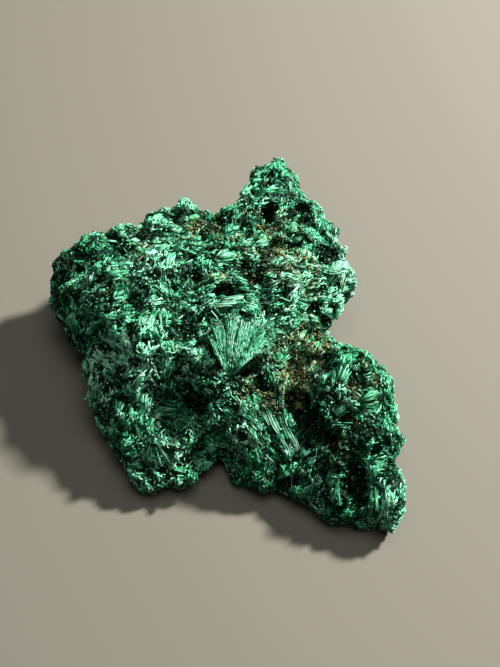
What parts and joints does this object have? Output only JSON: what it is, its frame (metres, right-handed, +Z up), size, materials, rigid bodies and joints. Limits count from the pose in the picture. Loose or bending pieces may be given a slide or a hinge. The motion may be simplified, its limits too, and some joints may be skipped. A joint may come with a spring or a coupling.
{
  "type": "malachite specimen",
  "caption": "Rough hand specimen of fibrous malachite: a broken slab of needle sprays with a knob at one end, side lobes and a deep front hollow, on flat feet.",
  "frame": {"origin": "under the middle of the specimen's box, in the plane that its feet stand on", "axes": "+X to the right lobe and the right rim, +Y to the knob at the far end, +Z up out of the feet"},
  "size_m": [0.0566, 0.068, 0.0198],
  "materials": {
    "malachite": "fibrous green malachite, matt in the mass with glassy needle faces, brown iron staining in the hollows"
  },
  "bodies": {
    "root": {"malachite": "malachite"}
  },
  "joints": []
}
